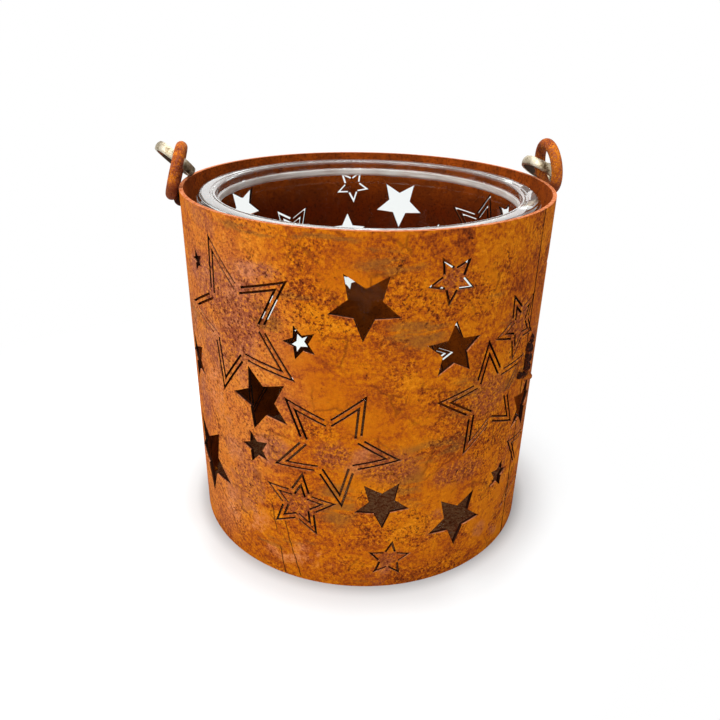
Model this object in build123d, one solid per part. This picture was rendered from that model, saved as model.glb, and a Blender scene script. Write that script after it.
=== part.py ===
from build123d import *
import math
import os

# Candle lantern: a rusted sheet steel tube cut with stars, with a glass jar standing in it.
# The origin is the middle of the base, +Z is up and the front of the lantern faces -Y.
# Lengths are millimetres. Azimuths are degrees from +X towards +Y.

# Shell, rolled from one sheet with a butt seam
shell_diameter = 120.0
shell_height = 117.0
sheet_thickness = 1.2
seam_azimuth = -32.3
seam_width = 0.4
seam_depth = 0.5

# Floor plate, tack welded inside the bottom edge
floor_thickness = 1.5
floor_clearance = 0.1
floor_tack_count = 6
floor_tack_size = 2.2

# Weld bead left on the outside of the seam
bead_height = 13.0
bead_share = 0.585
bead_width = 4.2
bead_rise = 1.0
bead_drops = 9
bead_offset = 3.0
bead_zigzag = 1.3
lip_start = -3.9
lip_width = 12.0
lip_rise = 3.4
lip_fall = 5.4
lip_size = 2.4
lip_drops = 11

# Star cut-outs
star_points = 5
star_inner_share = 0.46
slit_width = 0.75
slit_spacing = 1.6
slit_length_share = 0.92
cut_overrun = 3.0

# Each star: azimuth, height as a share of the shell's height, tip radius as a share of the
# shell's radius, turn of one tip from the horizontal, and how it is cut
front_star_shares = [
    (-154.5, 0.554, 0.148, 43, "hole"),
    (-149.4, 0.256, 0.258, 55, "hole"),
    (-145.5, 0.856, 0.060, 36, "hole"),
    (-128.9, 0.738, 0.410, 39, "double"),
    (-122.8, 0.394, 0.097, 36, "hole"),
    (-120.1, 0.545, 0.184, 39, "hole"),
    (-108.5, 0.257, 0.193, 11, "double"),
    (-107.0, 0.726, 0.090, 38, "hole"),
    (-98.2, 0.445, 0.335, 62, "double"),
    (-90.0, 0.831, 0.173, 52, "hole"),
    (-83.8, 0.280, 0.152, 56, "hole"),
    (-81.0, 0.095, 0.108, 11, "single"),
    (-67.4, 0.883, 0.110, 48, "single"),
    (-65.0, 0.705, 0.150, 20, "hole"),
    (-59.3, 0.187, 0.181, 54, "hole"),
    (-50.6, 0.542, 0.320, 27, "double"),
    (-41.2, 0.262, 0.090, 2, "hole"),
    (-39.8, 0.718, 0.185, 44, "double"),
    (-29.0, 0.444, 0.173, 0, "hole"),
    (-19.0, 0.244, 0.383, 2, "double"),
    (-13.2, 0.846, 0.133, 52, "hole"),
]
back_star_shares = [
    (18.2, 0.554, 0.148, 43, "hole"),
    (22.8, 0.256, 0.258, 55, "hole"),
    (28.5, 0.855, 0.085, 36, "hole"),
    (40.3, 0.774, 0.257, 29, "double"),
    (47.5, 0.430, 0.097, 36, "hole"),
    (48.8, 0.585, 0.184, 39, "hole"),
    (59.2, 0.257, 0.193, 11, "double"),
    (61.3, 0.735, 0.081, 39, "hole"),
    (69.5, 0.465, 0.200, 62, "double"),
    (77.0, 0.827, 0.167, 54, "hole"),
    (81.1, 0.280, 0.152, 56, "hole"),
    (83.6, 0.095, 0.108, 11, "single"),
    (96.2, 0.886, 0.104, 48, "single"),
    (97.5, 0.530, 0.070, 40, "hole"),
    (98.1, 0.718, 0.136, 18, "hole"),
    (102.9, 0.187, 0.181, 54, "hole"),
    (113.5, 0.580, 0.150, 27, "double"),
    (119.2, 0.296, 0.085, 2, "hole"),
    (121.2, 0.738, 0.173, 52, "double"),
    (129.9, 0.444, 0.173, 0, "hole"),
    (138.8, 0.244, 0.383, 2, "double"),
    (144.0, 0.846, 0.150, 52, "hole"),
]
side_star_shares = [
    (0.0, 0.665, 0.220, 30, "double"),
    (5.0, 0.350, 0.075, 10, "hole"),
    (10.0, 0.440, 0.075, 25, "hole"),
    (158.0, 0.640, 0.230, 20, "double"),
    (163.0, 0.330, 0.150, 62, "hole"),
    (176.0, 0.480, 0.075, 15, "hole"),
    (179.0, 0.740, 0.110, 40, "hole"),
    (180.0, 0.200, 0.220, 5, "double"),
    (192.0, 0.870, 0.100, 28, "single"),
]

# Glass jar, standing loose on the floor plate
jar_top_gap = 1.8
jar_rim_diameter = 110.8
jar_rim_wall = 6.2
jar_rim_height = 5.0
jar_neck_depth = 1.4
jar_wall = 2.8
jar_base = 5.0
jar_foot_radius = 7.0
jar_shift = 0.4
jar_lip_radius = 0.9

# Ears: rings of round wire welded to the outside of the shell, just under its edge
ear_wire = 3.6
ear_diameter = 18.5
ear_wall_gap = 0.1
ear_weld_size = 4.6
ear_sides = {
    "right": {"azimuth": 8.5, "drop": 2.8, "lean": 10.0, "turn": 0.0},
    "left": {"azimuth": -173.0, "drop": 3.4, "lean": 17.0, "turn": -3.0},
}

# Nickel rings: flat wire with a crowned outside, closed at a butt joint
ring_diameter = 14.4
lower_ring_diameter = 18.2
ring_band = 3.0
ring_thickness = 1.3
ring_crown = 0.45
ring_joint_gap = 0.25
ring_sides = {
    "right": {
        "ear_angle": 104.0, "axis": (28.1, 55.9), "hang": (70.5, -26.6), "slack_share": 0.44,
        "joint": (160.0, 20.0),
    },
    "left": {
        "ear_angle": -79.0, "axis": (34.3, 45.5), "hang": (177.0, 38.0), "slack_share": 0.38,
        "joint": (-20.0, -20.0),
    },
}
# Where the lower ring touches the right one, in degrees round from its lowest point, and how it hangs
lower_ring = {
    "contact": 12.2, "axis": (163.5, -11.2), "hang": (52.8, -60.7), "slack_share": 0.63,
    "shift": 0.5, "joint": (52.8, 29.3),
}


def direction(azimuth, elevation=0):
    # unit vector at an azimuth, raised by an elevation
    turn, rise = math.radians(azimuth), math.radians(elevation)
    return Vector(math.cos(rise) * math.cos(turn), math.cos(rise) * math.sin(turn), math.sin(rise))


def polar(radius, degrees):
    # point of a flat outline
    turn = math.radians(degrees)
    return Vector(radius * math.cos(turn), radius * math.sin(turn), 0)


up = Vector(0, 0, 1)
shell_radius = shell_diameter / 2
shell_inside = shell_radius - sheet_thickness
ear_radius = (ear_diameter - ear_wire) / 2
ring_inside = ring_diameter / 2 - ring_thickness
ring_middle = ring_diameter / 2 - ring_thickness / 2
half_point = 180 / star_points
on_base = (Align.CENTER, Align.CENTER, Align.MIN)


def save(shape, node):
    export_step(shape, f"parts/{node}.step")


def tip_sine():
    # sine of half the angle of a star's tip
    run = 1 - star_inner_share * math.cos(math.radians(half_point))
    rise = star_inner_share * math.sin(math.radians(half_point))
    return rise / math.hypot(run, rise)


def wall_cutter(azimuth, height, outline):
    # prism through the wall; the outline is laid on the sheet, so its width is an arc length
    middle = (min(point.X for point in outline) + max(point.X for point in outline)) / 2
    outward = direction(azimuth + math.degrees(middle / shell_radius))
    flat = [(shell_radius * math.sin((point.X - middle) / shell_radius), point.Y) for point in outline]
    start = shell_inside - cut_overrun
    plane = Plane(
        origin=outward * start + up * height,
        x_dir=up.cross(outward),
        z_dir=outward,
    )
    return extrude(plane * Polygon(*flat, align=None), amount=shell_radius + cut_overrun - start)


def star_outline(radius, turn):
    points = []
    for count in range(star_points):
        tip = turn + 2 * half_point * count
        points += [polar(radius, tip), polar(radius * star_inner_share, tip + half_point)]
    return points


def slit_outline(radius, tip):
    # narrow V along the two edges that meet at one tip, stopping short of the inner corners
    point = polar(radius, tip)
    inward = -point.normalized()
    half = slit_width / 2
    apex = inward * (half / tip_sine())
    ends = []
    for side in (1, -1):
        edge = polar(radius * star_inner_share, tip + side * half_point) - point
        across = polar(1, tip + side * 90)
        across = (across - edge.normalized() * across.dot(edge.normalized())).normalized() * half
        end = point + edge * slit_length_share
        ends.append((end + across, end - across))
    (left_out, left_in), (right_out, right_in) = ends
    return [point - apex, left_out, left_in, point + apex, right_in, right_out]


def star_cutters(azimuth, height, radius, turn, style):
    if style == "hole":
        return [wall_cutter(azimuth, height, star_outline(radius, turn))]
    radii = [radius]
    if style == "double":
        radii.append(radius - slit_spacing / tip_sine())
    tips = [turn + 2 * half_point * count for count in range(star_points)]
    return [wall_cutter(azimuth, height, slit_outline(size, tip)) for size in radii for tip in tips]


def make_shell():
    outer = Cylinder(shell_radius, shell_height, align=on_base)
    inner = Cylinder(shell_inside, shell_height + 2 * cut_overrun, align=on_base)
    tube = outer - Pos(0, 0, -cut_overrun) * inner
    groove = Box(2 * seam_depth, seam_width, shell_height + 2 * cut_overrun, align=on_base)
    cutters = [Pos(0, 0, -cut_overrun) * Rot(0, 0, seam_azimuth) * Pos(shell_radius, 0, 0) * groove]
    stars = front_star_shares + back_star_shares + side_star_shares
    for azimuth, height_share, radius_share, turn, style in stars:
        cutters += star_cutters(azimuth, height_share * shell_height, radius_share * shell_radius, turn, style)
    return tube - cutters


def make_floor():
    return Cylinder(shell_inside - floor_clearance, floor_thickness, align=on_base)


def make_floor_welds():
    # small lumps in the corner between the floor plate and the wall
    lumps = []
    for count in range(floor_tack_count):
        place = direction(360 / floor_tack_count * count) * shell_inside + up * floor_thickness
        lumps.append(Pos(*place) * Sphere(floor_tack_size / 2))
    inside = Pos(0, 0, floor_thickness) * Cylinder(shell_inside, shell_height, align=on_base)
    return Compound(children=[lump & inside for lump in lumps])


def make_seam_weld():
    # overlapping drops laid up the seam, the last one pulled out into a lip
    drop = Sphere(bead_width / 2)
    bead = None
    for count in range(bead_drops):
        side = bead_zigzag * (-1) ** count
        turn = seam_azimuth + math.degrees((bead_offset + side) / shell_radius)
        height = bead_share * shell_height + bead_height * (count / (bead_drops - 1) - 0.5)
        place = direction(turn) * (shell_radius + bead_rise - bead_width / 2) + up * height
        bead = Pos(*place) * drop if bead is None else bead + Pos(*place) * drop
    low_end = bead_share * shell_height - bead_height / 2
    for count in range(lip_drops):
        along = count / (lip_drops - 1)
        turn = seam_azimuth + math.degrees((lip_start + lip_width * along) / shell_radius)
        height = low_end + lip_rise - lip_fall * along
        bead += Pos(*(direction(turn) * shell_radius + up * height)) * Sphere(lip_size / 2)
    return bead - Cylinder(shell_radius, shell_height, align=on_base)


def make_jar():
    rim = jar_rim_diameter / 2
    body = rim - jar_neck_depth
    bore = rim - jar_rim_wall
    inside = body - jar_wall
    base = floor_thickness
    top = shell_height - jar_top_gap
    under_rim = top - jar_rim_height
    corners = [
        (0, base),
        (body, base),
        (body, under_rim - jar_neck_depth),
        (rim, under_rim),
        (rim, top),
        (bore, top),
        (bore, top - jar_rim_height / 2),
        (inside, under_rim - jar_neck_depth),
        (inside, base + jar_base),
        (0, base + jar_base),
    ]
    lip = jar_lip_radius
    radii = [0, jar_foot_radius, lip, lip, 2 * lip, lip / 2, lip, 2 * lip, jar_foot_radius - jar_wall, 0]
    points = [Vector(x, 0, z) for x, z in corners]
    outline = FilletPolyline(*points, radius=radii, close=True)
    return Pos(jar_shift, 0, 0) * revolve(make_face(outline), Axis.Z)


def ear_frame(side):
    # middle of an ear's ring, its outward normal and its upward line
    place = ear_sides[side]
    outward, along = direction(place["azimuth"]), direction(place["azimuth"] + 90)
    lean, turn = math.radians(place["lean"]), math.radians(place["turn"])
    facing = outward * math.cos(turn) - along * math.sin(turn)
    rising = up * math.cos(lean) - facing * math.sin(lean)
    normal = (facing * math.cos(lean) + up * math.sin(lean)).normalized()
    wire = ear_wire / 2
    clear = place["drop"] * math.tan(lean) + wire / math.cos(lean) + ear_wall_gap
    foot = outward * (shell_radius + clear) + up * (shell_height - place["drop"])
    return foot + rising * ear_radius, normal, rising


def make_ear(side):
    middle, normal, rising = ear_frame(side)
    return Plane(origin=middle, x_dir=rising, z_dir=normal) * Torus(ear_radius, ear_wire / 2)


def make_ear_weld(side):
    # weld metal filling the corner between the ear's foot and the wall
    middle, normal, rising = ear_frame(side)
    across = rising.cross(normal)
    foot = middle - rising * ear_radius
    weld = None
    for step in (-1, 0, 1):
        flat = foot + across * (step * ear_weld_size / 2)
        outward = direction(math.degrees(math.atan2(flat.Y, flat.X)))
        place = outward * shell_radius + up * (foot.Z - ear_weld_size / 4)
        lump = Pos(*place) * Sphere(ear_weld_size / 2)
        weld = lump if weld is None else weld + lump
    return weld - Cylinder(shell_radius, shell_height, align=on_base) - make_ear(side)


def make_ring(diameter, middle, axis, joint):
    # flat wire bent round, crowned outside, with a butt joint towards one side
    half = ring_band / 2
    outside = diameter / 2
    inside = outside - ring_thickness
    edge = outside - ring_crown
    crown = ThreePointArc((edge, 0, -half), (outside, 0, 0), (edge, 0, half))
    sides = Polyline((edge, 0, half), (inside, 0, half), (inside, 0, -half), (edge, 0, -half))
    ring = revolve(make_face(crown + sides), Axis.Z)
    gap = Box(diameter, ring_joint_gap, 2 * ring_band, align=(Align.MIN, Align.CENTER, Align.CENTER))
    across = joint - axis * joint.dot(axis)
    return Plane(origin=middle, x_dir=across, z_dir=axis) * (ring - gap)


def ring_frame(side):
    # middle and axis of the ring that hangs on an ear
    place = ring_sides[side]
    middle, normal, rising = ear_frame(side)
    across = rising.cross(normal)
    turn = math.radians(place["ear_angle"])
    wire = middle + (rising * math.cos(turn) + across * math.sin(turn)) * ear_radius
    axis = direction(*place["axis"])
    toward = direction(*place["hang"])
    toward = (toward - axis * toward.dot(axis)).normalized()
    slack = ring_inside - ear_wire / 2
    return wire + toward * (slack * place["slack_share"]), axis


def lower_ring_frame():
    # middle and axis of the lower ring, and where it hangs on the right ring
    middle, axis = ring_frame("right")
    down = (axis * up.dot(axis) - up).normalized()
    turn = math.radians(lower_ring["contact"])
    contact = middle + (down * math.cos(turn) + axis.cross(down) * math.sin(turn)) * ring_middle
    slack = lower_ring_diameter / 2 - ring_thickness - ring_thickness / 2
    reach = direction(*lower_ring["hang"]) * (slack * lower_ring["slack_share"])
    axis = direction(*lower_ring["axis"])
    return contact + reach + axis * lower_ring["shift"], axis


def main():
    os.makedirs("parts", exist_ok=True)
    save(make_shell(), "shell")
    save(make_floor(), "floor_plate")
    save(make_floor_welds(), "floor_welds")
    save(make_seam_weld(), "seam_weld")
    save(make_jar(), "glass_jar")
    for side in ear_sides:
        save(make_ear(side), f"ear_{side}")
        save(make_ear_weld(side), f"ear_weld_{side}")
        middle, axis = ring_frame(side)
        joint = direction(*ring_sides[side]["joint"])
        save(make_ring(ring_diameter, middle, axis, joint), f"ring_{side}")
    middle, axis = lower_ring_frame()
    joint = direction(*lower_ring["joint"])
    save(make_ring(lower_ring_diameter, middle, axis, joint), "lower_ring_right")


main()
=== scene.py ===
import functools
import math

import bpy
import numpy as np
from mathutils import Matrix, Vector


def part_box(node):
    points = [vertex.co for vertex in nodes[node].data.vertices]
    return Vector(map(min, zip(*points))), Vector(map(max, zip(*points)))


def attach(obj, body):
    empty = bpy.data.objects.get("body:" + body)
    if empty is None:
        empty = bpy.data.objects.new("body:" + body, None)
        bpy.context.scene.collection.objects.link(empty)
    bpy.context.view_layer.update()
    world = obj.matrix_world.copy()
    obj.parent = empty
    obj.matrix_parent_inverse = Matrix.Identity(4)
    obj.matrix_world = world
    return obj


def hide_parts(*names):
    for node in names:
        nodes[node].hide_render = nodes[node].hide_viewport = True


# A rusted sheet steel candle lantern with star cut-outs, a glass jar, wire ears and nickel rings.
# Lengths are metres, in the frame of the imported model: +Z is up and the front faces -Y.
# Azimuths are degrees, counted from +X to +Y, so the front is at -90.
# The two limits of a mask are where it starts to fade in and where it is full.

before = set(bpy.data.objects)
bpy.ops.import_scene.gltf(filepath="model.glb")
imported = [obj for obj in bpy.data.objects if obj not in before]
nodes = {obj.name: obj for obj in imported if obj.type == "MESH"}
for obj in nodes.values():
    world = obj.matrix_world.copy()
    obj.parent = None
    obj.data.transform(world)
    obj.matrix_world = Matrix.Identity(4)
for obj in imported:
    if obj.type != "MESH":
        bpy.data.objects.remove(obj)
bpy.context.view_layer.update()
shellLow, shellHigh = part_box("shell")
shellRadius = (shellHigh.x - shellLow.x) / 2
shellHeight = shellHigh.z
print("frame loaded, shell", round(2 * shellRadius, 4), "across and", round(shellHeight, 4), "high")


class Wire:
    # one output of a node; a sum, difference or product written with it adds a Math node
    def __init__(self, finish, socket):
        self.finish, self.socket = finish, socket

    def math(self, operation, *others):
        return self.finish.node("Math", dict(enumerate((self, *others))), operation=operation)

    def __add__(self, other):
        return self.math("ADD", other)

    def __sub__(self, other):
        return self.math("SUBTRACT", other)

    def __rsub__(self, other):
        return self.finish.node("Math", {0: other, 1: self}, operation="SUBTRACT")

    def __mul__(self, other):
        return self.math("MULTIPLY", other)

    __radd__, __rmul__ = __add__, __mul__

    def most(self, other):
        return self.math("MAXIMUM", other)

    def step(self, low, high):
        # 0 below low, 1 above high, smooth between; swapped limits turn it round
        limits = {0: self, 1: low, 2: high, 3: 0.0, 4: 1.0}
        if low > high:
            limits.update({1: high, 2: low, 3: 1.0, 4: 0.0})
        return self.finish.node("MapRange", limits, interpolation_type="SMOOTHSTEP")


def strongest(masks):
    # the largest of several masks
    return functools.reduce(Wire.most, masks)


class Finish:
    # the nodes of a material, or of the world, and the one method that makes them
    def __init__(self, owner):
        self.owner = owner
        owner.use_nodes = True
        self.tree = owner.node_tree
        self.tree.nodes.clear()

    def node(self, kind, inputs=None, out=0, stops=None, **settings):
        # settings and a ramp's stops come first, then each input's value or link
        made = self.tree.nodes.new("ShaderNode" + kind)
        for name, value in settings.items():
            setattr(made, name, value)
        if stops:
            ramp = made.color_ramp
            while len(ramp.elements) < len(stops):
                ramp.elements.new(0.5)
            for element, (place, colour) in zip(ramp.elements, stops):
                element.position = place
                element.color = (*colour, 1.0)
        for name, value in (inputs or {}).items():
            if isinstance(value, Wire):
                self.tree.links.new(value.socket, made.inputs[name])
            else:
                made.inputs[name].default_value = value
        return Wire(self, made.outputs[out]) if made.outputs else None

    def place(self):
        return self.node("TexCoord", out="Object")

    def axis(self, place, number):
        # one coordinate of a place or a direction: 0 is x, 1 is y, 2 is z
        return self.node("SeparateXYZ", {0: place}, out=number)

    def vector(self, operation, *values, out="Vector"):
        return self.node("VectorMath", dict(enumerate(values)), out=out, operation=operation)

    def length(self, place):
        return self.vector("LENGTH", place, out="Value")

    def level(self, place):
        # the place without its height, which points away from the lantern's axis
        return self.vector("MULTIPLY", place, (1.0, 1.0, 0.0))

    def mapped(self, place, scale, turn=0.0):
        # the place scaled along x, y and z, then turned about z by degrees
        rotation = (0.0, 0.0, math.radians(turn))
        return self.node("Mapping", {"Vector": place, "Scale": scale, "Rotation": rotation})

    def warped(self, place, size, reach):
        # the place pushed about by up to half the reach, in a noise of its own
        values = {"Vector": place, "Scale": 1 / size, "Detail": 3.0}
        push = self.node("TexNoise", values, out="Color")
        centred = self.vector("SUBTRACT", push, (0.5, 0.5, 0.5))
        moved = self.node("VectorMath", {0: centred, "Scale": reach}, operation="SCALE")
        return self.vector("ADD", place, moved)

    def noise(self, place, size, detail, roughness):
        # size is about the width of one blot
        values = {"Vector": place, "Scale": 1 / size, "Detail": detail, "Roughness": roughness}
        return self.node("TexNoise", values)

    def cells(self, place, size, out, feature="F1"):
        values = {"Vector": place, "Scale": 1 / size}
        return self.node("TexVoronoi", values, out=out, feature=feature)

    def near(self, place, point, reach, edge):
        # 1 round a point, out to edge times the reach, and 0 past the reach, which is x, y and z
        apart = self.vector("SUBTRACT", place, tuple(point))
        scaled = self.vector("MULTIPLY", apart, tuple(1 / r for r in reach))
        return self.length(scaled).step(1.0, edge)

    def towards(self, amount, value, goal):
        # a number drawn towards a goal: value + (goal - value) * amount
        return self.node("Mix", {0: amount, 2: value, 3: goal}, data_type="FLOAT")

    def blend(self, amount, below, above):
        # two colours: below where the amount is 0, above where it is 1
        return self.node("Mix", {0: amount, 6: below, 7: above}, out=2, data_type="RGBA")

    def ramp(self, value, *stops):
        return self.node("ValToRGB", {0: value}, stops=stops)

    def facing(self, outward):
        # cosine between the surface's normal and an outward vector
        normal = self.node("NewGeometry", out="Normal")
        return self.vector("DOT_PRODUCT", normal, self.vector("NORMALIZE", outward), out="Value")

    def bump(self, height, depth, strength):
        # depth is the height of a step of 1
        return self.node("Bump", {"Height": height, "Distance": depth, "Strength": strength})

    def rays(self, *kinds):
        # 1 for rays of any of these kinds
        return strongest(self.node("LightPath", out="Is " + kind + " Ray") for kind in kinds)

    def mixed(self, amount, below, above):
        # two shaders: below where the amount is 0, above where it is 1
        return self.node("MixShader", {0: amount, 1: below, 2: above})

    def surface(self, values):
        return self.close(self.node("BsdfPrincipled", values))

    def close(self, shader, output="OutputMaterial"):
        self.node(output, {"Surface": shader})
        return self.owner


def newFinish(name):
    return Finish(bpy.data.materials.new(name))


def wear(piece, material):
    # gives a piece one material
    piece.data.materials.clear()
    piece.data.materials.append(material)


def newObject(name, points, faces, material):
    # an object at the origin, with its place in its mesh
    mesh = bpy.data.meshes.new(name)
    mesh.from_pydata(points, [], faces)
    mesh.update()
    made = bpy.data.objects.new(name, mesh)
    bpy.context.scene.collection.objects.link(made)
    wear(made, material)
    return made


rustColours = {  # linear red, green and blue
    "black": (0.022, 0.006, 0.003),
    "dark": (0.100, 0.017, 0.004),
    "brown": (0.225, 0.040, 0.006),
    "tan": (0.365, 0.070, 0.006),
    "orange": (0.500, 0.116, 0.003),
    "ochre": (0.600, 0.172, 0.003),
    "bright": (0.760, 0.250, 0.010),
    "purple": (0.270, 0.072, 0.042),
    "pink": (0.660, 0.240, 0.110),
    "olive": (0.210, 0.086, 0.018),
    "russet": (0.260, 0.058, 0.022),
    "inside": (0.150, 0.017, 0.001),
    # the next two are painted light on the inside wall, at the mouth and low down
    "mouth": (0.400, 0.072, 0.006),
    "paintedLowLight": (0.360, 0.066, 0.004),
    "floor": (0.210, 0.088, 0.040),
}
rustSteps = {  # the tone at which each colour stands
    "dark": 0.12, "brown": 0.30, "tan": 0.44, "orange": 0.56, "ochre": 0.70, "bright": 0.92,
}
rustPatterns = {
    "bent": (0.016, 0.010),  # a warp's size and reach
    "rough": (0.004, 0.0032),
    "clouds": (0.030, 4.0, 0.60),  # a noise's size, detail and roughness
    "blots": (0.009, 8.0, 0.68),
    "grain": (0.0013, 5.0, 0.84),
    "flake": 0.013,  # the size of a cell
    "chip": 0.0062,
    "shares": {"clouds": 0.64, "blots": 0.42, "grain": 1.75, "flake": 0.18, "chip": 0.12},
    "level": 1.012,
}


def tint(name):
    return (*rustColours[name], 1.0)


def rustRamp(finish, tone):
    return finish.ramp(tone, *((step, rustColours[name]) for name, step in rustSteps.items()))


class Rust:
    # the patterns of some rust, scaled to its piece
    # the tone is their sum, each times its share, less the level: about 0.5 in the mean
    def __init__(self, finish, place, scale=1.0):
        def noise(where, name):
            size, detail, roughness = rustPatterns[name]
            return finish.noise(where, size * scale, detail, roughness)

        def plates(where, name, channel):
            # flat areas with straight edges, each of one random value
            colour = finish.cells(where, rustPatterns[name] * scale, "Color")
            return finish.node("SeparateColor", {0: colour}, out=channel)

        self.bent, self.rough = (
            finish.warped(place, *(length * scale for length in rustPatterns[name]))
            for name in ("bent", "rough"))
        self.clouds = noise(self.bent, "clouds")
        self.blots = noise(self.bent, "blots")
        self.grain = noise(place, "grain")
        self.flake = plates(self.bent, "flake", 0)
        chip = plates(self.rough, "chip", 1)
        shares = rustPatterns["shares"]
        tone = self.clouds * shares["clouds"] + self.blots * shares["blots"]
        tone = tone + self.grain * shares["grain"] + self.flake * shares["flake"]
        self.tone = tone + chip * shares["chip"] - rustPatterns["level"]


sheetSteel = {
    "seamAzimuth": -32.3,
    "seamLine": (0.0006, 0.0003),  # each side of the seam
    "patterns": {  # size, detail and roughness
        "strokes": (0.0030, 4.0, 0.62),
        "stroked": (0.040, 2.0, 0.50),
        "purple": (0.030, 3.0, 0.55),
        "olive": (0.0085, 5.0, 0.66),
        "dots": (0.00085, 3.0, 0.70),
        "coarse": (0.024, 4.0, 0.60),
        "cracked": (0.012, 2.0, 0.50),
        "pits": (0.0026, 5.0, 0.75),
        "wobble": (0.0030, 3.0, 0.60),
    },
    "strokeTurn": -38,  # on the sheet laid flat
    "strokeScale": (0.22, 1.0, 1.0),  # strokes are drawn out along the axis with less than 1
    "strokeDepth": 0.85,
    "calmTone": 0.56,  # the tone that calm areas are drawn to, and how far
    "calmPull": 0.35,
    "smoothTone": 0.64,
    "smoothPull": 0.68,
    "plainFlakes": 0.35,  # share of the flakes that are never smooth
    "crackCells": 0.0105,
    "crackWidth": (0.055, 0.0),  # in cells
    # heights over which the inside's painted light fades out low down and fades in at the mouth
    "lowLightHeights": (0.070, 0.084),
    "mouthLightHeights": (0.094, 0.113),
    "insideFacing": (-0.3, -0.6),  # cosine between the normal and the way out from the axis
    "edgeFacing": (0.80, 0.55),
    # which up-facing edges get a painted highlight
    "edgeLightUp": (0.35, 0.75),  # the normal's part that points up
    "skin": (0.0006, 0.0002),  # depth under the outside
    "rim": (0.001, 0.0),  # depth under the shell's top
    "plateInset": (0.0012, 0.0016),  # from the shell's outside
    "plateHeights": (0.0021, 0.0016),
    "reliefDepth": 0.0008,
    "patchEdge": 0.45,  # share of a patch that is full
    "scratchWidth": (0.00030, 0.00012),  # each side of the line
    "scratchEnds": 0.0002,
    "scratchWobble": 0.0010,
    "scratches": (  # azimuth and height of both ends
        (-117.8, 0.0277, -113.8, 0.0004),
        (-113.1, 0.0221, -112.0, 0.0151),
        (-112.0, 0.0151, -108.4, 0.0009),
    ),
    "patches": {  # azimuth and height of the middle, half the width and half the height
        "purple": (
            (-133, 0.096, 0.020, 0.010), (-126, 0.086, 0.009, 0.016), (-138, 0.075, 0.010, 0.012),
            (-146, 0.098, 0.008, 0.006), (-121, 0.104, 0.012, 0.004), (-150, 0.052, 0.007, 0.010),
            (-117, 0.047, 0.010, 0.006),
        ),
        # painted sheen: pink patches on the left, where a lamp grazes the wall
        "pink": (
            (-128, 0.101, 0.012, 0.005), (-143, 0.060, 0.012, 0.014), (-131, 0.018, 0.016, 0.010),
            (-152, 0.080, 0.006, 0.020), (-112, 0.010, 0.020, 0.006),
        ),
        "olive": (
            (-117, 0.090, 0.007, 0.006), (-84, 0.108, 0.012, 0.003), (-76, 0.089, 0.012, 0.007),
            (-69, 0.050, 0.014, 0.005), (-97, 0.032, 0.008, 0.012), (-60, 0.066, 0.008, 0.010),
            (-76, 0.040, 0.006, 0.010), (-122, 0.1145, 0.014, 0.0016),
            (-100, 0.1148, 0.012, 0.0012),
        ),
        "speckled": (
            (-112, 0.101, 0.022, 0.008), (-60, 0.098, 0.018, 0.010), (-52, 0.044, 0.008, 0.012),
            (-73, 0.018, 0.006, 0.008), (-104, 0.060, 0.012, 0.008), (-140, 0.034, 0.010, 0.010),
            (-40, 0.080, 0.010, 0.020),
        ),
        # painted sheen on the left, where a lamp grazes the wall; these patches also bring speckles
        "paintedSheenAndSpeckles": ((-138, 0.074, 0.040, 0.062), (-150, 0.020, 0.030, 0.026)),
        "russet": (
            (-129, 0.086, 0.010, 0.011), (-108, 0.030, 0.008, 0.008), (-98, 0.050, 0.008, 0.006),
            (-81, 0.011, 0.004, 0.004), (-67, 0.103, 0.005, 0.005), (-51, 0.064, 0.010, 0.010),
            (-40, 0.085, 0.009, 0.009), (-60, 0.040, 0.012, 0.006), (-24, 0.060, 0.010, 0.030),
            (-82, 0.046, 0.013, 0.008),
        ),
        "smooth": (
            (-106, 0.083, 0.007, 0.009), (-100, 0.068, 0.009, 0.010), (-88, 0.062, 0.010, 0.008),
            (-86, 0.045, 0.010, 0.010), (-135, 0.052, 0.005, 0.012), (-93, 0.104, 0.010, 0.004),
            (-18, 0.080, 0.008, 0.035),
        ),
        "calm": (
            (-98, 0.074, 0.022, 0.018), (-84, 0.058, 0.020, 0.014), (-93, 0.108, 0.014, 0.008),
            (-62, 0.038, 0.022, 0.014), (-75, 0.012, 0.026, 0.008),
        ),
    },
}


def unrolled(finish, place):
    # the sheet laid flat: along it the angle from the line opposite the seam, times the radius,
    # so that the join falls on the seam, and across it the height
    start = math.radians(180 + sheetSteel["seamAzimuth"])
    x, y, height = (finish.axis(place, number) for number in range(3))
    ahead = x * math.cos(start) + y * math.sin(start)
    aside = y * math.cos(start) - x * math.sin(start)
    around = aside.math("ARCTAN2", ahead) * shellRadius
    return finish.node("CombineXYZ", {0: around, 1: height}), height


def onFlat(azimuth, height):
    # a point of the sheet laid flat, from its azimuth and height on the lantern
    turn = math.radians((azimuth - sheetSteel["seamAzimuth"]) % 360 - 180)
    return Vector((turn * shellRadius, height, 0))


def onShell(azimuth, height):
    # a point of the wall's outside: x = r cos t, y = r sin t
    turn = math.radians(azimuth)
    return Vector((shellRadius * math.cos(turn), shellRadius * math.sin(turn), height))


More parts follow.
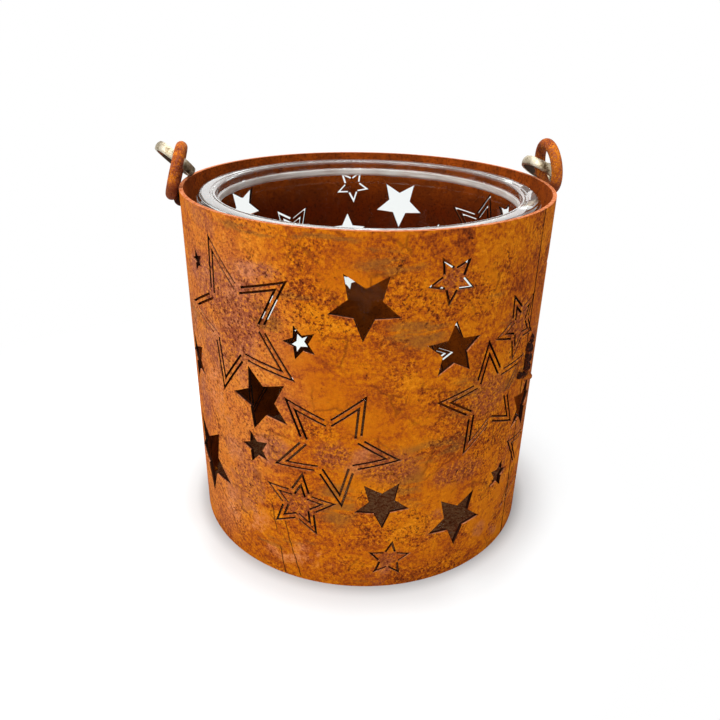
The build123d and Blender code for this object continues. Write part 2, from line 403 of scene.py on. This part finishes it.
def scratched(finish, place, flat):
    # 1 on the scratches: near enough to a line on the sheet laid flat, and within its length
    wobble = finish.noise(place, *sheetSteel["patterns"]["wobble"]) - 0.5
    wobble = wobble * sheetSteel["scratchWobble"]
    ends = sheetSteel["scratchEnds"]
    lines = []
    for startAzimuth, startHeight, endAzimuth, endHeight in sheetSteel["scratches"]:
        start = onFlat(startAzimuth, startHeight)
        run = onFlat(endAzimuth, endHeight) - start
        ahead = run.normalized()
        apart = finish.vector("SUBTRACT", flat, tuple(start))
        along = finish.vector("DOT_PRODUCT", apart, tuple(ahead), out="Value")
        aside = finish.vector("DOT_PRODUCT", apart, (-ahead.y, ahead.x, 0), out="Value")
        line = (aside + wobble).math("ABSOLUTE").step(*sheetSteel["scratchWidth"])
        line = line * along.step(-ends, ends) * along.step(run.length + ends, run.length - ends)
        lines.append(line)
    return strongest(lines)


def patchMask(finish, warped, kind):
    # 1 inside the patches of one kind, with the warped place making their edges ragged
    return strongest(
        finish.near(warped, onShell(azimuth, height), (half, half, tall), sheetSteel["patchEdge"])
        for azimuth, height, half, tall in sheetSteel["patches"][kind])


def sheetOutside(finish, place, flat, rust, dots):
    # the outside's colour, from its tone to its pits and scratches, and the height of its relief
    bent, rough, blots, grain = rust.bent, rust.rough, rust.blots, rust.grain
    patterns = sheetSteel["patterns"]

    # slanting strokes, as from a brush or from rain
    turned = finish.mapped(flat, sheetSteel["strokeScale"], sheetSteel["strokeTurn"])
    strokes = finish.noise(turned, *patterns["strokes"])
    stroked = finish.noise(place, *patterns["stroked"]).step(0.44, 0.58)
    tone = rust.tone + (strokes - 0.5) * stroked * sheetSteel["strokeDepth"]

    # smooth bright flakes and calm areas against coarse, speckled ground
    smooth = (blots * 0.6 + rust.clouds * 0.4).step(0.535, 0.56)
    smooth = smooth * rust.flake.math("GREATER_THAN", sheetSteel["plainFlakes"])
    smooth = smooth.most(patchMask(finish, bent, "smooth") * blots.step(0.40, 0.46))
    calm = patchMask(finish, bent, "calm")
    tone = finish.towards(calm * sheetSteel["calmPull"], tone, sheetSteel["calmTone"])
    tone = finish.towards(smooth * sheetSteel["smoothPull"], tone, sheetSteel["smoothTone"])
    colour = rustRamp(finish, tone)

    # purple and pink rust colour in blots, and on the left large pale pink patches that are a
    # painted sheen, where a lamp grazes the wall
    paintedSheenAndSpeckles = patchMask(finish, bent, "paintedSheenAndSpeckles")
    colour = finish.blend(paintedSheenAndSpeckles * (0.22 + (grain - 0.5) * 0.8), colour, tint("pink"))
    purple = finish.noise(place, *patterns["purple"]).step(0.60, 0.66) * 0.7
    purple = purple.most(patchMask(finish, bent, "purple"))
    colour = finish.blend(purple * grain.step(0.66, 0.44) * 0.85, colour, tint("purple"))
    # pink: painted sheen in the pink patches, and rust colour on the purple blots
    pink = patchMask(finish, rough, "pink").most(purple)
    pink = pink * blots.step(0.46, 0.62) * grain.step(0.36, 0.58)
    colour = finish.blend(pink * 0.60, colour, tint("pink"))

    # olive clouds, drawn out along the strokes
    olive = finish.noise(turned, *patterns["olive"]).step(0.60, 0.68) * 0.8
    olive = olive.most(patchMask(finish, rough, "olive") * strokes.step(0.40, 0.54))
    colour = finish.blend(olive * 0.62, colour, tint("olive"))

    # red brown areas, and dark and bright dots where the ground is coarse
    coarse = finish.noise(place, *patterns["coarse"]).step(0.47, 0.57) * (1.0 - calm * 0.75)
    coarse = coarse.most(patchMask(finish, bent, "speckled")) * (1.0 - smooth * 0.8) + 0.15
    russet = patchMask(finish, rough, "russet")
    colour = finish.blend(russet * grain.step(0.64, 0.44) * 0.85, colour, tint("russet"))
    coarse = strongest((coarse, russet, paintedSheenAndSpeckles * 0.8))
    colour = finish.blend(dots.step(0.53, 0.61) * coarse * 0.80, colour, tint("dark"))
    colour = finish.blend(dots.step(0.44, 0.36) * coarse * 0.65, colour, tint("bright"))

    # dark lines round some flakes, and nearly black pits, seam and scratches
    cracks = finish.cells(rough, sheetSteel["crackCells"], "Distance", "DISTANCE_TO_EDGE")
    cracks = cracks.step(*sheetSteel["crackWidth"])
    cracks = cracks * finish.noise(place, *patterns["cracked"]).step(0.50, 0.62)
    colour = finish.blend(cracks * 0.50, colour, tint("dark"))
    pits = finish.noise(place, *patterns["pits"]).step(0.36, 0.30)
    around = finish.axis(flat, 0).math("ABSOLUTE")
    join = around.step(*(math.pi * shellRadius - aside for aside in sheetSteel["seamLine"]))
    join = join * blots.step(0.40, 0.46)
    scratches = scratched(finish, place, flat) * blots.step(0.36, 0.44)
    colour = finish.blend(strongest((pits, join, scratches)) * 0.8, colour, tint("black"))
    relief = blots * 0.35 + grain * 0.45 + dots * 0.30 - cracks * 0.25 - pits * 0.25
    return colour, relief


def sheetInside(finish, height, rust, dots):
    # dark red brown, with painted light: a lighter colour low down, where it is in shadow, and at
    # the mouth
    colour = finish.blend(height.step(*sheetSteel["lowLightHeights"]), tint("paintedLowLight"), tint("inside"))
    colour = finish.blend(height.step(*sheetSteel["mouthLightHeights"]), colour, tint("mouth"))
    colour = finish.blend(rust.blots.step(0.60, 0.40) * 0.5, colour, tint("dark"))
    return finish.blend(dots.step(0.53, 0.60) * 0.5, colour, tint("black"))


def sheetEdges(finish, height, radius, rust):
    # painted shade: cut edges are nearly black, for the shade in the slits, with a painted
    # highlight where they face up at the outside or at the rim
    up = finish.axis(finish.node("NewGeometry", out="Normal"), 2)
    outer = radius.step(*(shellRadius - depth for depth in sheetSteel["skin"]))
    outer = outer.most(height.step(*(shellHeight - depth for depth in sheetSteel["rim"])))
    # painted highlight, tan and pink, on edges that face up
    paintedEdgeLight = finish.blend(rust.grain.step(0.40, 0.56), tint("tan"), tint("pink"))
    return finish.blend(up.step(*sheetSteel["edgeLightUp"]) * outer, tint("black"), paintedEdgeLight)


def rustedSheet():
    # outside, inside and cut edges are told apart by the way they face, the plate by its place
    finish = newFinish("rusted sheet")
    place = finish.place()
    flat, height = unrolled(finish, place)
    outward = finish.level(place)
    radius = finish.length(outward)
    facing = finish.facing(outward)
    rust = Rust(finish, place)
    dots = finish.noise(place, *sheetSteel["patterns"]["dots"])
    colour, relief = sheetOutside(finish, place, flat, rust, dots)
    inside = sheetInside(finish, height, rust, dots)
    colour = finish.blend(facing.step(*sheetSteel["insideFacing"]), colour, inside)
    # the cut edges get painted shade, nearly black, and a painted highlight where they face up
    edge = facing.math("ABSOLUTE").step(*sheetSteel["edgeFacing"])
    colour = finish.blend(edge, colour, sheetEdges(finish, height, radius, rust))
    plate = radius.step(*(shellRadius - inset for inset in sheetSteel["plateInset"]))
    plate = plate * height.step(*sheetSteel["plateHeights"])
    plateColour = finish.blend(rust.grain.step(0.40, 0.60), tint("dark"), tint("floor"))
    return finish.surface({
        "Base Color": finish.blend(plate, colour, plateColour),
        "Roughness": 0.95,
        "Specular IOR Level": 0.04,
        "Normal": finish.bump(relief, sheetSteel["reliefDepth"], 0.8),
    })


wireEars = {
    "scale": 0.35,  # of the rust's patterns, against the sheet's
    "contrast": 1.3,
    "tone": 0.46,
    "dots": (0.0008, 3.0, 0.65),  # size, detail and roughness
    "footHeights": (0.1200, 0.1160),
    "footDark": 0.75,
    "reliefDepth": 0.0005,
}


def rustedWire():
    # speckled rust, darker at the ears' feet
    finish = newFinish("rusted wire")
    place = finish.place()
    rust = Rust(finish, place, wireEars["scale"])
    colour = rustRamp(finish, (rust.tone - 0.5) * wireEars["contrast"] + wireEars["tone"])
    dots = finish.noise(place, *wireEars["dots"])
    colour = finish.blend(dots.step(0.50, 0.58) * 0.7, colour, tint("purple"))
    colour = finish.blend(rust.blots.step(0.46, 0.36) * 0.7, colour, tint("dark"))
    colour = finish.blend(dots.step(0.40, 0.35) * 0.5, colour, tint("pink"))
    foot = finish.axis(place, 2).step(*wireEars["footHeights"])
    colour = finish.blend(foot * wireEars["footDark"], colour, tint("dark"))
    relief = rust.blots * 0.5 + rust.grain * 0.3 + dots * 0.3
    return finish.surface({
        "Base Color": colour,
        "Roughness": 0.88,
        "Specular IOR Level": 0.15,
        "Normal": finish.bump(relief, wireEars["reliefDepth"], 0.8),
    })


welds = {
    "scale": 0.3,  # of the rust's patterns, against the sheet's
    "darker": 0.04,
    "burntHeights": (0.0628, 0.0650),  # the seam's bead and the ears' welds are above these
    "flecks": (0.0011, 3.0, 0.6),  # size, detail and roughness
    "reliefDepth": 0.0008,
}


def weldMetal():
    # rust with a few black flecks, and burnt nearly black above
    finish = newFinish("rusted weld")
    place = finish.place()
    rust = Rust(finish, place, welds["scale"])
    colour = rustRamp(finish, rust.tone - welds["darker"])
    burnt = finish.axis(place, 2).step(*welds["burntHeights"])
    colour = finish.blend(burnt * rust.blots.step(0.66, 0.58), colour, tint("dark"))
    flecks = finish.noise(place, *welds["flecks"])
    colour = finish.blend((burnt + 0.30) * flecks.step(0.58, 0.53), colour, tint("black"))
    return finish.surface({
        "Base Color": colour,
        "Roughness": 0.8,
        "Specular IOR Level": 0.03,
        "Normal": finish.bump(rust.blots * 0.5 + flecks * 0.5, welds["reliefDepth"], 1.0),
    })


nickelRings = {
    "plating": (  # from stained to clean
        (0.38, (0.100, 0.065, 0.030)),
        (0.46, (0.330, 0.270, 0.175)),
        (0.54, (0.480, 0.420, 0.310)),
        (0.70, (0.620, 0.575, 0.470)),
    ),
    # painted shade of the ring's inside, and the rust spots in it
    "innerShade": (0.045, 0.020, 0.010, 1.0),
    "rust": (0.230, 0.065, 0.012, 1.0),
    "insideFacing": (-0.15, -0.5),  # cosine between the normal and the way out from the middle
    "warp": (0.003, 0.002),  # size and reach
    "clouds": (0.0036, 5.0, 0.65),  # size, detail and roughness
    "grain": (0.0005, 3.0, 0.60),
    "rustSpots": (0.0045, 3.0, 0.60),
    "roughness": 0.36,
    "reliefDepth": 0.00016,
}


def nickel(name):
    # warm plated metal with dull stains, and painted shade: nearly black on the ring's inside, with
    # rust spots
    finish = newFinish("nickel " + name)
    place = finish.place()
    low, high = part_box(name)
    outward = finish.vector("SUBTRACT", place, tuple((low + high) / 2))
    within = finish.facing(outward).step(*nickelRings["insideFacing"])
    clouds = finish.noise(finish.warped(place, *nickelRings["warp"]), *nickelRings["clouds"])
    grain = finish.noise(place, *nickelRings["grain"])
    plating = finish.ramp(clouds * 0.75 + grain * 0.25, *nickelRings["plating"])
    rust = finish.noise(place, *nickelRings["rustSpots"]).step(0.56, 0.64)
    # painted shade on the ring's inside, nearly black brown, with rust spots
    innerShadeAndRust = finish.blend(rust, nickelRings["innerShade"], nickelRings["rust"])
    return finish.surface({
        "Base Color": finish.blend(within * 0.94, plating, innerShadeAndRust),
        "Roughness": nickelRings["roughness"] + clouds * 0.20 + within * 0.30,
        "Metallic": 1.0 - within * 0.5,
        "Normal": finish.bump(grain * 0.5 + clouds * 0.5, nickelRings["reliefDepth"], 0.6),
    })


glassJar = {
    # millimetres: x, z and the radius of each corner of the profile, from the middle of the
    # underside, round the rim, to the middle of the inside
    "corners": (
        (0.0, 2.9, 0), (40.0, 2.5, 2), (45.5, 1.5, 1.5), (54.0, 1.5, 6.5), (54.0, 108.5, 1.0),
        (55.4, 109.9, 1.0), (55.4, 115.2, 1.9), (51.3, 115.2, 0.15), (51.05, 114.95, 0.15),
        (50.55, 114.95, 0.15), (50.3, 115.15, 0.15), (49.2, 115.15, 1.0), (49.2, 112.6, 0.35),
        (48.6, 112.2, 0.7), (48.6, 109.9, 1.1), (51.2, 109.2, 1.2), (51.2, 107.0, 0.5),
        (50.9, 106.2, 0.7), (51.2, 105.4, 0.5), (51.2, 6.5, 4.2), (0.0, 6.5, 0),
    ),
    "cornerSteps": 7,
    "shift": 0.4,  # millimetres to the right of the lantern's axis
    "turns": 288,
    "ior": 1.5,
    "wallTop": (0.1088, 0.1108),
    "wallGloss": 0.24,
    "glossHeights": (0.080, 0.104),
    "edgeShadeRadii": (0.0530, 0.0550),  # painted shade: the rim's tint darkens towards its outer edge
    "rimTint": (0.96, 0.975, 0.97, 1.0),
    "edgeShadeTint": (0.56, 0.62, 0.66, 1.0),
    "wallTint": (0.95, 0.965, 0.96, 1.0),
    "shadowTint": (0.93, 0.95, 0.94, 1.0),
    "paintedHighlight": (0.94, 0.95, 0.90, 1.0),
    "waves": (0.030, 2.0, 0.4),  # size, detail and roughness
    "waveDepth": 0.0006,
    "streaks": (0.012, 3.0, 0.6),
    # the painted highlight lies on the bead under the rim and on the rim's top
    "beadRadii": (0.0502, 0.0496),
    "beadHeights": ((0.1092, 0.1100), (0.1126, 0.1121)),
    "beadHighlight": 0.55,
    "topHeights": (0.1144, 0.1150),
    "topRadii": (0.0544, 0.0538),
    "topHighlight": 0.10,
}


def jarGlass():
    # clear glass that lets the lamps' light through to what stands behind it
    # the rim bends light as a solid does, and the thin wall below it only mirrors a little
    # painted highlight: the rim's top and the bead under it are a little milky, a white diffuse
    # layer that stands in for bright bands of reflected light
    finish = newFinish("clear glass")
    place = finish.place()
    height = finish.axis(place, 2)
    radius = finish.length(finish.level(place))
    waves = finish.noise(finish.mapped(place, (1.0, 1.0, 0.5)), *glassJar["waves"])
    bump = finish.bump(waves, glassJar["waveDepth"], 0.4)
    # painted shade at the rim's outer edge
    edge = radius.step(*glassJar["edgeShadeRadii"])
    rim = finish.node("BsdfPrincipled", {
        "Base Color": finish.blend(edge, glassJar["rimTint"], glassJar["edgeShadeTint"]),
        "Roughness": 0.0,
        "IOR": glassJar["ior"],
        "Transmission Weight": 1.0,
        "Normal": bump,
    })

    # the wall mirrors more towards the mouth, and only where a face is met from its front
    thin = finish.node("BsdfTransparent", {"Color": glassJar["wallTint"]})
    mirror = finish.node("BsdfGlossy", {"Roughness": 0.0, "Normal": bump})
    shine = finish.node("Fresnel", {"IOR": glassJar["ior"], "Normal": bump})
    shine = shine * (height.step(*glassJar["glossHeights"]) * 0.7 + 0.3)
    shine = shine * (1.0 - finish.node("NewGeometry", out="Backfacing"))
    wall = finish.mixed(shine * glassJar["wallGloss"], thin, mirror)

    # the bead's painted highlight is uneven, in flat streaks
    streaks = finish.noise(finish.mapped(place, (1.0, 1.0, 9.0)), *glassJar["streaks"])
    bead = radius.step(*glassJar["beadRadii"])
    for limits in glassJar["beadHeights"]:
        bead = bead * height.step(*limits)
    top = height.step(*glassJar["topHeights"]) * radius.step(*glassJar["topRadii"])
    # how much painted highlight, on the bead and the rim's top
    highlightShare = bead * (glassJar["beadHighlight"] + (streaks - 0.5)) + top * glassJar["topHighlight"]
    paintedHighlight = finish.node("BsdfDiffuse", {"Color": glassJar["paintedHighlight"]})
    glass = finish.mixed(height.step(*glassJar["wallTop"]), wall, finish.mixed(highlightShare, rim, paintedHighlight))

    clear = finish.node("BsdfTransparent", {"Color": glassJar["shadowTint"]})
    return finish.close(finish.mixed(finish.rays("Shadow", "Diffuse"), glass, clear))


def roundedLine(corners, steps):
    # every corner between the ends becomes an arc of its radius that touches both of its runs:
    # the arc's middle lies between the runs, the radius / sin(half the corner's angle) away,
    # and from there the arc turns from its begin to its end in equal angles
    points = np.array(corners, dtype=float)
    here, radius = points[1:-1, :2], points[1:-1, 2:]

    def unit(runs):
        return runs / np.linalg.norm(runs, axis=1, keepdims=True)

    back, on = unit(points[:-2, :2] - here), unit(points[2:, :2] - here)
    half = np.arccos(np.clip((back * on).sum(axis=1, keepdims=True), -1, 1)) / 2
    middle = here + unit(back + on) * radius / np.sin(half)
    begin = here + back * radius / np.tan(half) - middle
    end = here + on * radius / np.tan(half) - middle
    sweep = (np.pi - 2 * half)[:, None]
    part = np.linspace(0, 1, steps)[:, None]
    arcs = begin[:, None] * np.sin((1 - part) * sweep) + end[:, None] * np.sin(part * sweep)
    arcs = middle[:, None] + arcs / np.sin(sweep)
    return np.concatenate([points[:1, :2], arcs.reshape(-1, 2), points[-1:, :2]])


def turnedFaces(rings, count):
    # faces of a turned surface, whose points are its rings of count points and then two poles:
    # squares between the rings, and a fan from the first and from the last ring to its pole
    ring, spoke = np.meshgrid(np.arange(rings - 1), np.arange(count), indexing="ij")
    beside, here, after = (spoke + 1) % count, ring * count, (ring + 1) * count
    squares = np.stack([here + spoke, here + beside, after + beside, after + spoke], -1)
    spoke = np.arange(count)
    beside, last = (spoke + 1) % count, (rings - 1) * count
    firstPole, lastPole = np.full((2, count), [[rings * count], [rings * count + 1]])
    fans = np.stack([firstPole, beside, spoke, lastPole, last + spoke, last + beside], -1)
    return squares.reshape(-1, 4).tolist() + fans.reshape(-1, 3).tolist()


def makeJar(material):
    # a profile turned about the jar's axis: x = r cos t, y = r sin t and z kept
    line = roundedLine(glassJar["corners"], glassJar["cornerSteps"]) / 1000
    shift, count = glassJar["shift"] / 1000, glassJar["turns"]
    angles = np.linspace(0, 2 * math.pi, count, endpoint=False)
    inner = line[1:-1]
    rings = np.stack([
        inner[:, :1] * np.cos(angles) + shift,
        inner[:, :1] * np.sin(angles),
        np.repeat(inner[:, 1:], count, axis=1)], -1)
    poles = [[shift, 0, line[0, 1]], [shift, 0, line[-1, 1]]]
    faces = turnedFaces(len(inner), count)
    jar = newObject("jar_glass", rings.reshape(-1, 3).tolist() + poles, faces, material)
    jar.data.polygons.foreach_set("use_smooth", np.ones(len(faces), dtype=bool))
    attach(jar, "jar")
    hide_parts("glass_jar")
    print("jar made,", len(faces), "faces")


def dress():
    sheet, wire, weld = rustedSheet(), rustedWire(), weldMetal()
    for name in ("shell", "floor_plate"):
        wear(nodes[name], sheet)
    for name in ("ear_left", "ear_right"):
        wear(nodes[name], wire)
    for name in ("floor_welds", "seam_weld", "ear_weld_left", "ear_weld_right"):
        wear(nodes[name], weld)
    for name in ("ring_left", "ring_right", "lower_ring_right"):
        wear(nodes[name], nickel(name))
    makeJar(jarGlass())
    print("finishes on", len(nodes), "pieces")


whiteFloor = {
    "size": 8.0,
    "paper": (0.7995, 0.8364, 0.8487, 1.0),
    "glow": 0.14,  # light of its own, only for what the camera sees
    # painted shadow: two darker rings round the lantern's foot
    "contactRadii": (0.0655, 0.0590),
    "contactShade": 0.26,
    "shadeRadii": (0.078, 0.060),
    "paintedShade": 0.20,
    "whiteRadii": (0.075, 0.15),
    "lean": 0.40,  # how much nearer the plain white comes on the right: painted light over the lamps' shadow
}


def makeFloor():
    # white paper: it keeps the lamps' shadow near the lantern and adds a painted shadow in rings
    # round its foot; further off it is plain white, which comes nearer on the right and paints out
    # the shadow there
    finish = newFinish("white floor")
    seen = finish.rays("Camera", "Glossy", "Transmission")
    distance = finish.length(finish.place())
    contactShadow = distance.step(*whiteFloor["contactRadii"]) * whiteFloor["contactShade"]
    paintedShade = 1.0 - contactShadow - distance.step(*whiteFloor["shadeRadii"]) * whiteFloor["paintedShade"]
    paper = finish.blend(paintedShade, (0.0, 0.0, 0.0, 1.0), whiteFloor["paper"])
    diffuse = finish.node("BsdfDiffuse", {"Color": paper})
    white = {"Color": (1.0, 1.0, 1.0, 1.0)}
    glow = finish.node("Emission", {**white, "Strength": seen * paintedShade * whiteFloor["glow"]})
    near = finish.node("AddShader", {0: diffuse, 1: glow})
    far = finish.node("Emission", {**white, "Strength": 1.0})
    # the plain white comes nearer on the right, painting out the lamps' shadow there
    away = distance + finish.axis(finish.place(), 0) * whiteFloor["lean"]
    away = away.step(*whiteFloor["whiteRadii"]) * seen
    material = finish.close(finish.mixed(away, near, far))
    half = whiteFloor["size"] / 2
    corners = [(-half, -half, 0), (half, -half, 0), (half, half, 0), (-half, half, 0)]
    floor = newObject("floor", corners, [(0, 1, 2, 3)], material)
    print("floor made,", whiteFloor["size"], "across")


studio = {
    "world": 0.50,
    "lamps": {  # power, place, and the side of the square lamp
        "key": (8.0, (-0.60, -0.70, 0.75), 0.80),
        "top": (4.5, (-0.05, 0.05, 0.80), 0.55),
        "fill": (0.6, (0.75, -0.45, 0.45), 0.70),
        "back": (1.4, (0.0, 0.85, 0.50), 0.70),
    },
}


def lightStage():
    # a white world, at full strength only for what the camera sees, and lamps aimed at the lantern
    sky = Finish(bpy.data.worlds.new("studio"))
    seen = sky.rays("Camera", "Glossy", "Transmission")
    strength = sky.node("MapRange", {"Value": seen, "To Min": studio["world"], "To Max": 1.0})
    light = sky.node("Background", {"Color": (1.0, 1.0, 1.0, 1.0), "Strength": strength})
    bpy.context.scene.world = sky.close(light, "OutputWorld")
    target = Vector((0, 0, shellHeight / 2))
    for name, (power, spot, size) in studio["lamps"].items():
        data = bpy.data.lights.new(name, "AREA")
        data.energy, data.size = power, size
        lamp = bpy.data.objects.new(name, data)
        lamp.location = spot
        lamp.visible_camera = False
        lamp.rotation_euler = (target - Vector(spot)).to_track_quat("-Z", "Y").to_euler()
        bpy.context.scene.collection.objects.link(lamp)
    print("lit by", len(studio["lamps"]), "lamps")


photoCamera = {
    "place": (0.0, -0.2228, 0.1616),
    "down": 26.17,  # degrees, as are left and roll
    "left": 0.36,
    "roll": 1.15,
    "lens": 33.57,  # millimetres, on a film of this width
    "film": 36.0,
    "clip": (0.01, 20.0),
}


def makeCamera():
    # fitted to the photograph's outline of the lantern
    down, left, roll = (math.radians(photoCamera[name]) for name in ("down", "left", "roll"))
    forward = Vector((
        -math.sin(left) * math.cos(down), math.cos(left) * math.cos(down), -math.sin(down)))
    right = Vector((math.cos(left), math.sin(left), 0))
    above = right.cross(forward)
    across = right * math.cos(roll) + above * math.sin(roll)
    upright = above * math.cos(roll) - right * math.sin(roll)
    data = bpy.data.cameras.new("camera")
    data.lens, data.sensor_width = photoCamera["lens"], photoCamera["film"]
    data.clip_start, data.clip_end = photoCamera["clip"]
    camera = bpy.data.objects.new("camera", data)
    turn = Matrix((across, upright, -forward)).transposed()
    camera.matrix_world = Matrix.Translation(photoCamera["place"]) @ turn.to_4x4()
    bpy.context.scene.collection.objects.link(camera)
    bpy.context.scene.camera = camera
    print("camera at", photoCamera["place"])


dress()
makeFloor()
lightStage()
makeCamera()
bpy.context.scene.view_settings.view_transform = "Standard"
